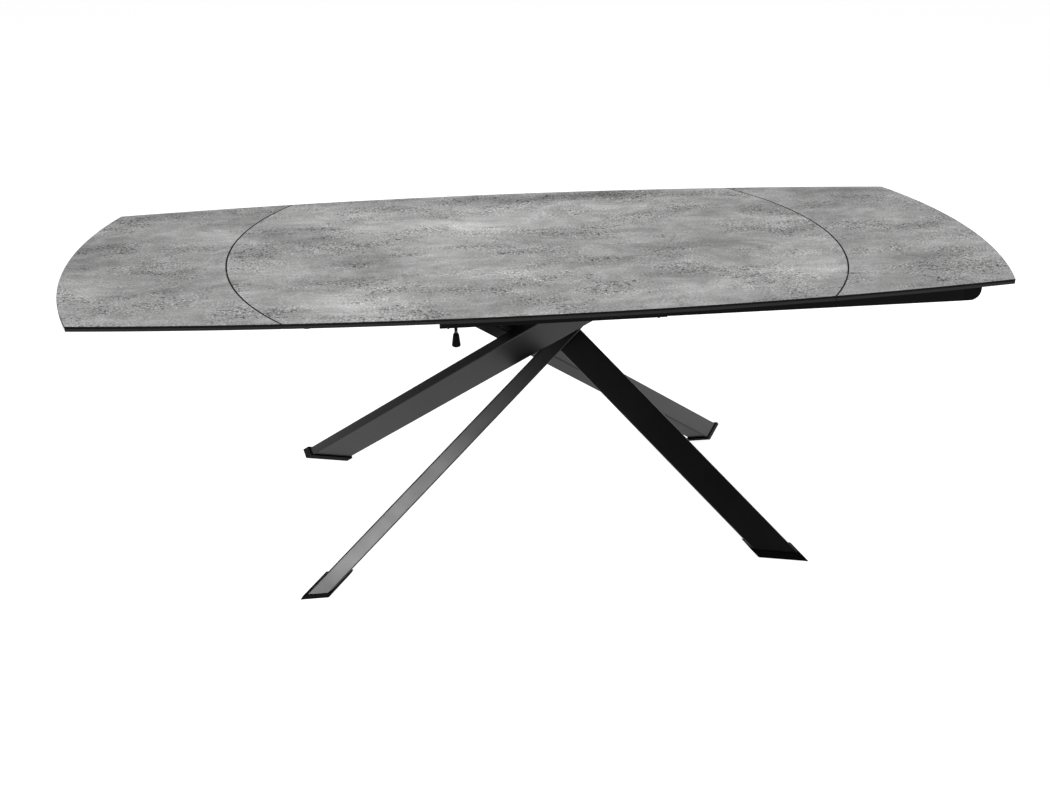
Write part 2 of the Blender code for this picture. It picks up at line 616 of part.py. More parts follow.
def build_latch(side, base, shoulder, shaft_bore):
    """A spring plunger beside the back side plate that drops into a disc on the shaft."""
    half = LOCK_DISC_THICKNESS / 2
    disc = turned([(0, LATCH_Y - half), (LOCK_DISC_RADIUS, LATCH_Y - half),
                   (LOCK_DISC_RADIUS, LATCH_Y + half), (0, LATCH_Y + half)], "Y")
    lock_disc = add_object(side + "_lock_disc", disc, BRIGHT_STEEL, shoulder, True)
    notch = box((-LATCH_OFFSET - NOTCH_WIDTH / 2, LATCH_Y - 2 * half, -LOCK_DISC_RADIUS),
                (-LATCH_OFFSET + NOTCH_WIDTH / 2, LATCH_Y + 2 * half,
                 -LOCK_DISC_RADIUS + NOTCH_DEPTH))
    cut(lock_disc, shaft_bore)
    cut(lock_disc, add_cutter(side + "_notch_cutter", notch, shoulder))

    bracket = box((LATCH_X - BRACKET_WIDTH / 2, LATCH_Y - BRACKET_WIDTH / 2,
                   BRACKET_TOP_Z - BRACKET_THICKNESS),
                  (LATCH_X + BRACKET_WIDTH / 2, PLATE_INNER - CLEARANCE, BRACKET_TOP_Z))
    block = add_object(side + "_latch_bracket", bracket, BLACK_STEEL, base)
    bore = turned([(0, -BRACKET_THICKNESS), (PLUNGER_RADIUS + BORE_CLEARANCE, -BRACKET_THICKNESS),
                   (PLUNGER_RADIUS + BORE_CLEARANCE, BRACKET_THICKNESS),
                   (0, BRACKET_THICKNESS)], "Z")
    bore_cutter = add_cutter(side + "_plunger_bore", bore, base)
    bore_cutter.location = (LATCH_X, LATCH_Y, BRACKET_TOP_Z - BRACKET_THICKNESS / 2)
    cut(block, bore_cutter)

    latch = add_empty(side + "_latch_axis", (LATCH_X, LATCH_Y, PLUNGER_END_Z), 0, base)
    plunger = turned([(0, 0), (PLUNGER_RADIUS, 0), (PLUNGER_RADIUS, PLUNGER_LENGTH - PLUNGER_CHAMFER),
                      (PLUNGER_RADIUS - PLUNGER_CHAMFER, PLUNGER_LENGTH), (0, PLUNGER_LENGTH)], "Z")
    add_object(side + "_latch_plunger", plunger, BRIGHT_STEEL, latch, True)
    socket = PLUNGER_RADIUS + CLEARANCE
    bottom = KNOB_GRIP_DEPTH - KNOB_LENGTH
    knob = turned([(0, -CLEARANCE), (socket, -CLEARANCE), (socket, KNOB_GRIP_DEPTH),
                   (KNOB_TOP_RADIUS, KNOB_GRIP_DEPTH),
                   (KNOB_BOTTOM_RADIUS, bottom + KNOB_EDGE_HEIGHT),
                   (KNOB_BOTTOM_RADIUS - KNOB_EDGE_WIDTH, bottom), (0, bottom)], "Z")
    add_object(side + "_latch_knob", knob, BLACK_PLASTIC, latch, True)


def build_extension(side, turn):
    """One leaf with its arms and latch. Returns the cutter for its shaft's bore."""
    base = add_empty(side + "_extension", (0, 0, 0), turn)
    shoulder = add_empty(side + "_shoulder_axis", (SHOULDER_X, 0, SHOULDER_Z), 0, base)
    elbow = add_empty(side + "_elbow_axis", (ELBOW_X, 0, ELBOW_Z), 0, base)
    wrist = add_empty(side + "_wrist_axis", (WRIST_X, 0, WRIST_Z), 0, base)
    bores = {"shoulder": add_bore(side + "_shaft_bore", SHAFT_RADIUS, shoulder),
             "elbow": add_bore(side + "_elbow_bore", ELBOW_PIN_RADIUS, elbow),
             "wrist": add_bore(side + "_wrist_bore", LEAF_PIN_RADIUS, wrist)}
    build_arms(side, shoulder, elbow, wrist, bores)
    build_drive_belts(side, base, shoulder, elbow)
    build_pins(side, shoulder, elbow, wrist)
    build_leaf(side, wrist)
    build_latch(side, base, shoulder, bores["shoulder"])
    return bores["shoulder"]


def main():
    clear_scene()
    half_turn = add_empty("back_legs", (0, 0, 0), math.pi)
    build_legs(half_turn)
    build_centre()
    shaft_bores = [build_extension("right", 0.0), build_extension("left", math.pi)]
    build_frame(shaft_bores)


main()
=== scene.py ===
"""Looks of the extendable dining table: ceramic on black glass, crossed steel legs, two stowing leaves."""

import json
import math

import bmesh
import bpy
from mathutils import Matrix, Vector
from mathutils.geometry import convex_hull_2d

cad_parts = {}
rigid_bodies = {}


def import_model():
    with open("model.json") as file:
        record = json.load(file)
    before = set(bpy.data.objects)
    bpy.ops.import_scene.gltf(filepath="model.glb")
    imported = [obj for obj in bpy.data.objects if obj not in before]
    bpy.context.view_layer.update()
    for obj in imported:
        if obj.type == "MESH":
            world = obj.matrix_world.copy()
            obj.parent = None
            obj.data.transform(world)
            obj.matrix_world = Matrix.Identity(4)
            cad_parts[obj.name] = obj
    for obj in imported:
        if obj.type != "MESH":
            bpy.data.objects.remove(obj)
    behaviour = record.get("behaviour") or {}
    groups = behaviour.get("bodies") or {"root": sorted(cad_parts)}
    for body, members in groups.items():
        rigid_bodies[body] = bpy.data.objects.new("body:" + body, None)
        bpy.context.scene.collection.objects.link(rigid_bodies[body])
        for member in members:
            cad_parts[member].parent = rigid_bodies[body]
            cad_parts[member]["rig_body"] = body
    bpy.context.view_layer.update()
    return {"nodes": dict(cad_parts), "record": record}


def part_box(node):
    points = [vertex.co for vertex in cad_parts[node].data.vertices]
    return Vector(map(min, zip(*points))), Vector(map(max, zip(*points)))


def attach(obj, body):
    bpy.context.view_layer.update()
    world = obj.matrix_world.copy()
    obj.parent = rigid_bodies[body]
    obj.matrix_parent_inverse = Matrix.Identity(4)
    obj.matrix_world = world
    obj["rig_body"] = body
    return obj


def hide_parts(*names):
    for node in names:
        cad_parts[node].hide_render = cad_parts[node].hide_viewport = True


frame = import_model()

SIDES = (("right", 1), ("left", -1))
CORNERS = ("front_left", "front_right", "back_left", "back_right")
DOWN = (0, 0, -1)

# camera, in metres, radians and millimetres
CAMERA_PLACE = (-0.4662, -3.0860, 1.8215)
CAMERA_YAW = 0.1399
CAMERA_PITCH = 0.4422
CAMERA_ROLL = 0.0007
CAMERA_LENS = 42.476
CAMERA_SENSOR = 36.0
CAMERA_REACH = 200.0

# lamps: places and sizes in metres, radiance in watts per square metre and steradian, power in watts
OVERHEAD_LAMP = {"place": (0.0, 0.3, 4.2), "target": (0, 0, 0.5), "size": (6.0, 6.0), "radiance": 1.25}
RIGHT_LAMP = {"place": (4.2, 2.6, 1.4), "target": (0.2, 0.1, 0.5), "size": (4.0, 2.6), "radiance": 0.95}
LEG_LAMP = {"place": (-0.36, -4.25, 2.50), "target": (-0.52, -0.32, 0.08), "power": 700.0,
            "cone": math.radians(14.0), "blend": 0.9, "radius": 0.45}
SURROUND_LEVEL = 0.045
FLOOR_HALF = 40.0
FLOOR_LEVEL = 0.55
FLOOR_GLOW = 0.96

# mesh clean-up
SAME_PLACE = 1e-5
FLAT_ANGLE = math.radians(0.05)
EDGE_ANGLE = math.radians(28)
SMOOTH_ANGLE = math.radians(32)
BEAD_SMOOTH_ANGLE = math.radians(60)

# rounding of edges, in metres
CERAMIC_EDGE = 0.0009
GLASS_EDGE = 0.0008
LEG_EDGE = 0.0035
LEG_EDGE_SEGMENTS = 4
LONG_EDGE = 0.3                  # only edges of a leg tube that are longer are rounded
CAP_EDGE = 0.0010
SHEET_EDGE = 0.0006
RAIL_EDGE = 0.0015
STOP_EDGE = 0.0015
SOFT_SEGMENTS = 3
RIM_SLOPE = 0.97                 # faces of a slab that lean more than this belong to its rim

# foot caps whose rim is lower and whose pointed end is blunter
LOW_CAPS = ("front_left", "back_right")
LOW_CAP_RIM = 0.0100
CAP_TIP_TRIM = 0.0040

# small parts, in metres
SCREW_POINTS = 24
PLATE_SCREW_RADIUS = 0.0070
PLATE_SCREW_HEIGHT = 0.0038
PLATE_SCREW_Y = (-0.255, -0.10, 0.10, 0.255)
SKIRT_SCREW_RADIUS = 0.0030
SKIRT_SCREW_HEIGHT = 0.0022
SKIRT_SCREW_X = (-0.262, 0.262)

KNOB_POINTS = 84
KNOB_FLUTES = 14
KNOB_FLUTE_DEPTH = 0.0007
KNOB_PROFILE = (                 # height, radius, share of the flute depth
    (0.0000, 0.0070, 0.0), (0.0008, 0.0092, 0.0), (0.0026, 0.0107, 0.0), (0.0042, 0.0110, 0.0),
    (0.0058, 0.0109, 1.0), (0.0270, 0.0082, 1.0), (0.0290, 0.0080, 0.0), (0.0312, 0.0076, 0.0),
    (0.0340, 0.0062, 0.0), (0.0364, 0.0050, 0.0), (0.0370, 0.0044, 0.0),
)

BEAD_RADIUS = 0.0028
BEAD_STEP = 0.0022
BEAD_POINTS = 8
BEAD_RIPPLE = 0.10
BEAD_END = 0.45                  # thickness at the ends of a bead
BEAD_TAPER = 0.3                 # gained with each step from an end
FRAME_BEADS = ((-0.25, -0.17), (-0.04, 0.04), (0.17, 0.25))
FRAME_BEAD_OFFSET = 0.0001

SEAM_GAP = 0.0025
SEAM_RADIUS = 0.78011
# a dark strip that fills each seam up to just under the top, as painted shade in the gap
SHADE_STRIP_HALF_LENGTH = 0.4645
SHADE_STRIP_CLEARANCE = 0.0003
SHADE_STRIP_STEPS = 96
SHADE_STRIP_TOP = 0.7756

STOP_X = 0.5975
STOP_LENGTH = 0.013
STOP_WIDTH = 0.011
STOP_HEIGHT = 0.0215

# soft clouds on the slabs, the first row a painted highlight that makes the top brighter back left of the
# middle: x, y, half length, half width, change of display grey
CLOUDS_AND_HIGHLIGHT = (
    (-0.20, 0.21, 0.40, 0.17, 0.060), (0.12, 0.30, 0.42, 0.09, 0.030), (0.55, 0.18, 0.20, 0.15, 0.030),
    (0.38, -0.06, 0.22, 0.065, -0.070), (0.19, -0.15, 0.18, 0.045, -0.035),
    (-0.45, -0.09, 0.20, 0.050, -0.040), (-0.26, -0.13, 0.20, 0.045, -0.025),
    (-0.65, -0.25, 0.16, 0.055, -0.050), (-0.50, -0.23, 0.07, 0.06, -0.030),
    (-0.42, -0.35, 0.38, 0.045, 0.035), (0.65, -0.21, 0.12, 0.065, 0.035),
    (0.45, -0.30, 0.25, 0.045, 0.020), (0.25, 0.44, 0.50, 0.045, -0.050),
    (-0.95, 0.25, 0.18, 0.06, -0.030), (-1.00, 0.39, 0.14, 0.035, -0.045),
    (-0.95, -0.22, 0.14, 0.035, -0.045), (0.95, -0.22, 0.14, 0.035, -0.045),
    (1.00, 0.39, 0.14, 0.035, -0.045), (0.86, 0.25, 0.16, 0.06, -0.035),
)
# where dark pits crowd together: x, y, half length, half width, extra crowding
PIT_PATCHES = (
    (0.25, 0.44, 0.50, 0.060, 0.09), (-0.62, 0.21, 0.15, 0.050, 0.08), (-0.50, 0.08, 0.12, 0.080, 0.06),
    (0.12, 0.03, 0.07, 0.090, 0.06), (0.00, -0.35, 0.14, 0.055, 0.06), (0.62, -0.35, 0.10, 0.050, 0.07),
    (0.70, 0.00, 0.10, 0.160, 0.05), (-0.95, -0.26, 0.24, 0.110, 0.06), (0.97, -0.26, 0.22, 0.110, 0.06),
    (-1.00, 0.39, 0.16, 0.050, 0.06), (1.00, 0.39, 0.16, 0.050, 0.06), (-0.58, -0.38, 0.30, 0.050, 0.04),
)
PATCH_CORE, PATCH_RIM = 0.1, 1.35    # where an ellipse starts to fade and where it ends, in half widths

# noise in the ceramic: scale, detail, roughness, squeeze across the table
CERAMIC_NOISE = {
    "broad": (2.6, 2.0, 0.50, 2.4),
    "mottle": (19.0, 7.0, 0.72, 1.35),
    "streak": (9.0, 5.0, 0.60, 8.0),
    "grain": (170.0, 4.0, 0.80, 1.2),
    "region": (6.0, 4.0, 0.60, 2.0),
    "pits": (76.0, 5.0, 0.76, 1.35),
    "cracks": (38.0, 5.0, 0.70, 1.6),
    "chalk": (75.0, 4.0, 0.60, 1.8),
    "chalk_region": (6.0, 3.0, 0.60, 1.8),
}
NOISE_MEAN = 0.5
CHALK_OFFSET = (3.1, 1.7, 0)
CHALK_REGION_OFFSET = (7.3, 2.9, 0)
# how far a coarse noise bends the clouds and the mottling, in metres
SWIRL_SCALE, SWIRL_DETAIL = 5.0, 3.0
SWIRL_REACH = (0.22, 0.12, 0.0)
# where a noise starts to count and where it counts in full
ROUGH_FROM, ROUGH_TO = 0.36, 0.64
PIT_WIDTH = 0.05
CRACK_WIDTH = 0.012
CRACK_FROM, CRACK_TO = 0.35, 0.95
SPECK_FROM, SPECK_TO = 0.60, 0.72
CHALKY_FROM, CHALKY_TO = 0.44, 0.62
# noise above this is a pit, on smooth ground and on top of that on rough ground
PIT_THRESHOLD, PIT_THRESHOLD_ROUGH = 0.665, -0.135
DISPLAY_GAMMA = 2.2
# changes of display grey
CLOUD_AND_HIGHLIGHT_GAIN = 1.7
BROAD_GAIN = 0.46
MOTTLE_GAIN = 0.48
STREAK_GAIN = 0.14
GRAIN_GAIN, GRAIN_GAIN_ROUGH = 0.56, 1.35
PIT_DEPTH = -0.33
CRACK_DEPTH = -0.30
CHALK_LIFT = 0.17


# ---------------------------------------------------------------- shader nodes

class Shader:
    """A node material. put() adds a node: inputs are sockets to link or constant values."""

    def __init__(self, name, **constants):
        self.material = bpy.data.materials.new(name)
        self.material.use_nodes = True
        self.tree = self.material.node_tree
        self.bsdf = self.tree.nodes["Principled BSDF"]
        for socket, value in constants.items():
            self.bsdf.inputs[socket.replace("_", " ")].default_value = value

    def put(self, kind, inputs=(), output=0, **settings):
        node = self.tree.nodes.new("ShaderNode" + kind)
        for key, value in settings.items():
            setattr(node, key, value)
        for socket, value in dict(inputs).items():
            self.give(node.inputs[socket], value)
        return node.outputs[output]

    def give(self, socket, value):
        if isinstance(value, bpy.types.NodeSocket):
            self.tree.links.new(value, socket)
        else:
            socket.default_value = value

    def math(self, operation, a, b=0.0, c=0.0):
        return self.put("Math", {0: a, 1: b, 2: c}, operation=operation)

    def line(self, value, slope, base):
        """value times slope, plus base."""
        return self.math("MULTIPLY_ADD", value, slope, base)

    def centred(self, noise):
        return self.math("SUBTRACT", noise, NOISE_MEAN)

    def coordinates(self, scale=(1, 1, 1), offset=(0, 0, 0), warp=None):
        place = self.put("TexCoord", output="Object")
        if warp is not None:
            place = self.put("VectorMath", {0: place, 1: warp}, operation="ADD")
        return self.put("Mapping", {"Vector": place, "Location": offset, "Scale": scale})

    def noise(self, scale, detail=3.0, roughness=0.6, stretch=(1, 1, 1), offset=(0, 0, 0), warp=None):
        where = self.coordinates(stretch, offset, warp)
        return self.put("TexNoise", {"Vector": where, "Scale": scale,
                                     "Detail": detail, "Roughness": roughness})

    def ramp(self, value, low, high, to_low=0.0, to_high=1.0):
        return self.put("MapRange", {"Value": value, "From Min": low, "From Max": high,
                                     "To Min": to_low, "To Max": to_high}, interpolation_type="SMOOTHSTEP")

    def grey(self, level):
        return self.put("CombineColor", {0: level, 1: level, 2: level})

    def tinted(self, level, tint):
        """A grey level times a tint, as a colour."""
        return self.put("CombineColor", {i: self.math("MULTIPLY", level, t) for i, t in enumerate(tint)})

    def bump(self, height, strength, distance):
        return self.put("Bump", {"Height": height, "Strength": strength, "Distance": distance})

    def set(self, socket, value):
        self.give(self.bsdf.inputs[socket], value)


# ---------------------------------------------------------------- materials

def patches(shader, table, warp):
    """Sum of soft ellipses, each 1 in the middle and 0 at its rim, times its amount."""
    total = None
    for x, y, half_length, half_width, amount in table:
        shrink = (1 / half_length, 1 / half_width, 0)
        away = shader.coordinates(shrink, (-x * shrink[0], -y * shrink[1], 0), warp)
        reach = shader.put("VectorMath", {0: away}, output="Value", operation="LENGTH")
        part = shader.ramp(reach, PATCH_CORE, PATCH_RIM, amount, 0.0)
        total = part if total is None else shader.math("ADD", total, part)
    return total


def ceramic(name, offset, base):
    """Matt stoneware with a pitted concrete look and a painted highlight in its colour. Greys are mixed as
    display values, then made linear.
    """
    s = Shader(name, Specular_IOR_Level=0.35)

    def noise(key, offset=offset, warp=None):
        scale, detail, roughness, squeeze = CERAMIC_NOISE[key]
        return s.noise(scale, detail, roughness, (1, squeeze, 1), offset, warp)

    swirl = s.put("TexNoise", {"Vector": s.coordinates(offset=offset),
                               "Scale": SWIRL_SCALE, "Detail": SWIRL_DETAIL}, output="Color")
    swirl = s.put("VectorMath", {0: swirl, 1: (NOISE_MEAN,) * 3}, operation="SUBTRACT")
    swirl = s.put("VectorMath", {0: swirl, 1: SWIRL_REACH}, operation="MULTIPLY")
    mottle = noise("mottle", warp=swirl)
    grain = noise("grain")
    rough = s.ramp(s.math("ADD", noise("region"), patches(s, PIT_PATCHES, swirl)), ROUGH_FROM, ROUGH_TO)
    grain_gain = s.line(rough, GRAIN_GAIN_ROUGH, GRAIN_GAIN)
    # clouds in the stone, with a painted highlight laid into the colour back left of the middle
    level = s.line(patches(s, CLOUDS_AND_HIGHLIGHT, swirl), CLOUD_AND_HIGHLIGHT_GAIN, base)
    for layer, gain in ((noise("broad"), BROAD_GAIN), (mottle, MOTTLE_GAIN),
                        (noise("streak"), STREAK_GAIN), (grain, grain_gain)):
        level = s.line(s.centred(layer), gain, level)

    # dark pits and short cracks on the rough ground
    threshold = s.line(rough, PIT_THRESHOLD_ROUGH, PIT_THRESHOLD)
    pit = s.ramp(s.math("SUBTRACT", noise("pits"), threshold), 0.0, PIT_WIDTH)
    ridge = s.ramp(s.math("ABSOLUTE", s.centred(noise("cracks"))), 0.0, CRACK_WIDTH, 1.0, 0.0)
    crack = s.math("MULTIPLY", ridge, s.ramp(rough, CRACK_FROM, CRACK_TO))
    level = s.line(pit, PIT_DEPTH, level)
    level = s.line(crack, CRACK_DEPTH, level)

    # chalky specks
    specks = s.ramp(noise("chalk", CHALK_OFFSET), SPECK_FROM, SPECK_TO)
    chalky = s.ramp(noise("chalk_region", CHALK_REGION_OFFSET), CHALKY_FROM, CHALKY_TO)
    level = s.line(s.math("MULTIPLY", specks, chalky), CHALK_LIFT, level)

    s.set("Base Color", s.tinted(s.math("POWER", level, DISPLAY_GAMMA), (1.0, 0.998, 0.993)))
    s.set("Roughness", s.line(pit, 0.15, s.line(mottle, 0.20, 0.46)))
    height = s.math("SUBTRACT", s.math("MULTIPLY", grain, 0.5), s.math("MAXIMUM", pit, crack))
    s.set("Normal", s.bump(height, 0.35, 0.0004))
    return s.material


def powder_coat(name, level, roughness, peel_scale, relief, gloss):
    """Powder-coated steel: a fine orange-peel surface with a slightly uneven sheen."""
    s = Shader(name, Specular_IOR_Level=gloss)
    cloud = s.centred(s.noise(9.0))
    s.set("Base Color", s.tinted(s.line(cloud, level * 0.5, level), (0.98, 0.99, 1.02)))
    s.set("Roughness", s.line(cloud, 0.12, roughness))
    s.set("Normal", s.bump(s.noise(peel_scale), relief, 0.0003))
    return s.material


def bright_metal(name, level, roughness):
    """Turned and lightly oiled steel with fine tool marks and darker oil stains."""
    s = Shader(name, Metallic=1.0)
    marks = s.noise(240.0, detail=4.0, roughness=0.7, stretch=(1, 9, 1))
    stain = s.ramp(s.noise(32.0, detail=4.0), 0.35, 0.75)
    tone = s.line(stain, -0.12, s.line(marks, 0.16, level - 0.08))
    s.set("Base Color", s.tinted(tone, (1.0, 0.995, 0.98)))
    s.set("Roughness", s.line(stain, 0.16, s.line(marks, 0.10, roughness)))
    s.set("Normal", s.bump(marks, 0.15, 0.0002))
    return s.material


def slab_edge(name):
    """Dark sealed edge of a ceramic slab."""
    s = Shader(name, Specular_IOR_Level=0.06)
    speck = s.noise(420.0)
    s.set("Base Color", s.grey(s.line(speck, 0.012, 0.004)))
    s.set("Roughness", s.line(speck, 0.2, 0.42))
    s.set("Normal", s.bump(speck, 0.3, 0.0002))
    return s.material


def black_glass(name):
    """Back-painted black tempered glass: gloss with faint smears."""
    s = Shader(name, Specular_IOR_Level=0.22)
    smear = s.noise(14.0, detail=4.0, stretch=(1, 3, 1))
    s.set("Base Color", s.tinted(s.line(smear, 0.006, 0.006), (0.9, 1.0, 1.02)))
    s.set("Roughness", s.line(smear, 0.16, 0.10))
    return s.material


def moulded_plastic(name, level, roughness):
    """Plastic with a fine spark-eroded texture."""
    s = Shader(name, Specular_IOR_Level=0.06)
    wear = s.noise(26.0, detail=4.0)
    s.set("Base Color", s.grey(s.line(wear, level * 0.8, level * 0.6)))
    s.set("Roughness", s.line(wear, 0.16, roughness - 0.08))
    s.set("Normal", s.bump(s.noise(1500.0, detail=2.0, roughness=0.5), 0.25, 0.0002))
    return s.material


def belt_rubber(name):
    """Fabric-faced rubber with dusty patches."""
    s = Shader(name, Specular_IOR_Level=0.3)
    weave = s.put("TexWave", {"Vector": s.coordinates(), "Scale": 420.0, "Distortion": 0.6},
                  output="Fac", bands_direction="Y")
    dust = s.noise(60.0, detail=4.0)
    s.set("Base Color", s.grey(s.line(dust, 0.020, 0.004)))
    s.set("Roughness", s.line(dust, 0.2, 0.6))
    s.set("Normal", s.bump(weave, 0.4, 0.0002))
    return s.material


CERAMIC = {"centre": ceramic("ceramic_centre", (0, 0, 0), 0.752),
           "right_leaf": ceramic("ceramic_right", (4.3, 0.9, 0), 0.737),
           "left_leaf": ceramic("ceramic_left", (8.7, 2.3, 0), 0.740)}
SLAB_EDGE = slab_edge("ceramic_edge")
GLASS = black_glass("black_glass")
LEG_PAINT = powder_coat("leg_paint", level=0.004, roughness=0.36, peel_scale=900.0, relief=0.05,
                        gloss=0.43)
BLACK_PAINT = powder_coat("black_paint", level=0.004, roughness=0.45, peel_scale=1300.0, relief=0.20,
                          gloss=0.06)
STEEL = bright_metal("bright_steel", level=0.52, roughness=0.24)
SCREW_STEEL = bright_metal("blackened_screw", level=0.09, roughness=0.34)
PLASTIC = moulded_plastic("black_plastic", level=0.003, roughness=0.50)
RUBBER = belt_rubber("belt_rubber")


# ---------------------------------------------------------------- meshes

def finish_mesh(name, bm, material, body, slot, smooth_angle=SMOOTH_ANGLE):
    bmesh.ops.recalc_face_normals(bm, faces=bm.faces[:])
    mesh = bpy.data.meshes.new(name)
    bm.to_mesh(mesh)
    bm.free()
    mesh.polygons.foreach_set("use_smooth", [True] * len(mesh.polygons))
    mesh.set_sharp_from_angle(angle=smooth_angle)
    mesh.materials.append(material)
    piece = bpy.data.objects.new(name, mesh)
    bpy.context.scene.collection.objects.link(piece)
    even = piece.modifiers.new("even_normals", "WEIGHTED_NORMAL")
    even.keep_sharp = True
    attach(piece, body)
    return piece


def body_of(node):
    return frame["nodes"][node]["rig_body"]


def slot_of(node):
    return next(row["material_slot"] for row in frame["record"]["subparts"] if row["node"] == node)


def copied(node):
    """The CAD node's solid as a bmesh with whole faces instead of triangles."""
    bm = bmesh.new()
    bm.from_mesh(frame["nodes"][node].data)
    bmesh.ops.remove_doubles(bm, verts=bm.verts[:], dist=SAME_PLACE)
    bmesh.ops.dissolve_limit(bm, angle_limit=FLAT_ANGLE, verts=bm.verts[:], edges=bm.edges[:])
    return bm


def any_edge(edge):
    return True


def long_edge(edge):
    return edge.calc_length() > LONG_EDGE


def round_edges(bm, radius, segments, pick):
    """Rounds the outer corners of a mesh that pick() agrees to."""
    edges = [e for e in bm.edges
             if e.is_manifold and e.is_convex and e.calc_face_angle(0.0) > EDGE_ANGLE and pick(e)]
    bmesh.ops.bevel(bm, geom=edges, offset=radius, segments=segments, profile=0.5,
                    affect="EDGES", clamp_overlap=True)


def rounded(node, material, radius, segments=2, pick=any_edge, rim=None, bm=None):
    """The CAD node with rounded edges, standing in for it. rim is a second material, for its sides."""
    bm = bm or copied(node)
    round_edges(bm, radius, segments, pick)
    if rim:
        bm.normal_update()
        for face in bm.faces:
            face.material_index = int(abs(face.normal.z) < RIM_SLOPE)
    piece = finish_mesh(node + "_look", bm, material, body_of(node), slot_of(node))
    if rim:
        piece.data.materials.append(rim)
    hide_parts(node)


# ---------------------------------------------------------------- table top

for part in ("centre", "right_leaf", "left_leaf"):
    rounded(part + "_ceramic", CERAMIC[part], CERAMIC_EDGE, rim=SLAB_EDGE)
    rounded(part + "_glass", GLASS, GLASS_EDGE)


# ---------------------------------------------------------------- legs and frame

def leg_lean(node):
    """How far the axis of a leg runs sideways for each metre that it rises."""
    bm = copied(node)
    edge = max(bm.edges, key=lambda e: e.calc_length())
    along = edge.verts[1].co - edge.verts[0].co
    bm.free()
    return along / along.z


def low_cap(corner):
    """A foot cap with its rim slid down along the leg and its foot drawn in."""
    bm = copied("foot_cap_" + corner)
    lean = leg_lean("leg_" + corner)
    for v in bm.verts:
        if v.co.z > LOW_CAP_RIM:
            v.co -= lean * (v.co.z - LOW_CAP_RIM)
        elif v.co.z < SAME_PLACE:
            v.co.xy += lean.xy * CAP_TIP_TRIM
    return bm


for corner in CORNERS:
    rounded("leg_" + corner, LEG_PAINT, LEG_EDGE, LEG_EDGE_SEGMENTS, long_edge)
    cap = low_cap(corner) if corner in LOW_CAPS else None
    rounded("foot_cap_" + corner, PLASTIC, CAP_EDGE, SOFT_SEGMENTS, bm=cap)
for node in ("mounting_plate", "side_plate_front", "side_plate_back"):
    rounded(node, BLACK_PAINT, SHEET_EDGE)
for node in ("cross_rail_left", "cross_rail_right"):
    rounded(node, BLACK_PAINT, RAIL_EDGE, SOFT_SEGMENTS)


# ---------------------------------------------------------------- moving parts and latch brackets

for side, _ in SIDES:
    # node, material, rounding of its edges
    for node, material, radius in (
            ("main_beam", BLACK_PAINT, 0.0020), ("beam_end_cap", PLASTIC, 0.0015),
            ("side_bar", BLACK_PAINT, 0.0010),
            ("inner_arm_drive", BLACK_PAINT, 0.0006), ("inner_arm_idle", BLACK_PAINT, 0.0006),
            ("outer_arm_drive", BLACK_PAINT, 0.0006), ("outer_arm_idle", BLACK_PAINT, 0.0006),
            ("torsion_shaft", STEEL, 0.0006), ("lock_disc", STEEL, 0.0005),
            ("elbow_pin_drive", STEEL, 0.0004), ("elbow_pin_idle", STEEL, 0.0004),
            ("leaf_pin_drive", STEEL, 0.0004), ("leaf_pin_idle", STEEL, 0.0004),
            ("fixed_pulley", STEEL, 0.0004), ("elbow_pulley", STEEL, 0.0004),
            ("inner_belt", RUBBER, 0.0003), ("outer_belt", RUBBER, 0.0003),
            ("latch_bracket", BLACK_PAINT, 0.0008), ("latch_plunger", SCREW_STEEL, 0.0003)):
        rounded(side + "_" + node, material, radius)


# ---------------------------------------------------------------- small parts

def loft(loops):
    """A closed skin through loops of equally many points."""
    bm = bmesh.new()
    rings = [[bm.verts.new(p) for p in loop] for loop in loops]
    for lower, upper in zip(rings, rings[1:]):
        for i in range(len(lower)):
            j = (i + 1) % len(lower)
            bm.faces.new((lower[i], lower[j], upper[j], upper[i]))
    bm.faces.new(rings[0][::-1])
    bm.faces.new(rings[-1])
    return bm


def turns(count):
    return [2 * math.pi * i / count for i in range(count)]


def circle(radius, height, count, lobes=0, depth=0.0):
    """A circle, or with lobes a ring with shallow flutes."""
    points = []
    for turn in turns(count):
        r = radius - depth * (0.5 + 0.5 * math.cos(lobes * turn))
        points.append((r * math.cos(turn), r * math.sin(turn), height))
    return points


def hexagon(across, height, count):
    """A hexagon with the given number of points, starting level with circle()."""
    points = []
    for turn in turns(count):
        bend = (turn + math.pi / 6) % (math.pi / 3) - math.pi / 6
        r = across / 2 / math.cos(bend)
        points.append((r * math.cos(turn), r * math.sin(turn), height))
    return points


def stand(bm, place, axis):
    """Turns a mesh built up along Z to stand at a place along an axis."""
    turn = Vector((0, 0, 1)).rotation_difference(Vector(axis)).to_matrix().to_4x4()
    bmesh.ops.transform(bm, matrix=Matrix.Translation(place) @ turn, verts=bm.verts[:])
    return bm


def socket_screw(name, place, radius, height):
    """A button-head screw with a hexagon socket, seen from below."""
    loops = [circle(radius, 0, SCREW_POINTS), circle(radius, 0.35 * height, SCREW_POINTS),
             circle(0.90 * radius, 0.70 * height, SCREW_POINTS), circle(0.68 * radius, height, SCREW_POINTS),
             hexagon(0.95 * radius, height, SCREW_POINTS), hexagon(0.90 * radius, 0.3 * height, SCREW_POINTS)]
    finish_mesh(name, stand(loft(loops), place, DOWN), SCREW_STEEL, "base", "bright_steel")


def fluted_knob(side):
    """The pull knob of a latch: a flared grip with shallow flutes."""
    low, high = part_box(side + "_latch_knob")
    middle = (low + high) / 2
    loops = [circle(radius, height, KNOB_POINTS, KNOB_FLUTES, share * KNOB_FLUTE_DEPTH)
             for height, radius, share in KNOB_PROFILE]
    bm = stand(loft(loops), (middle.x, middle.y, low.z), (0, 0, 1))
    knob = finish_mesh(side + "_latch_knob_look", bm, PLASTIC, side + "_latch", "black_plastic")
    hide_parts(side + "_latch_knob")


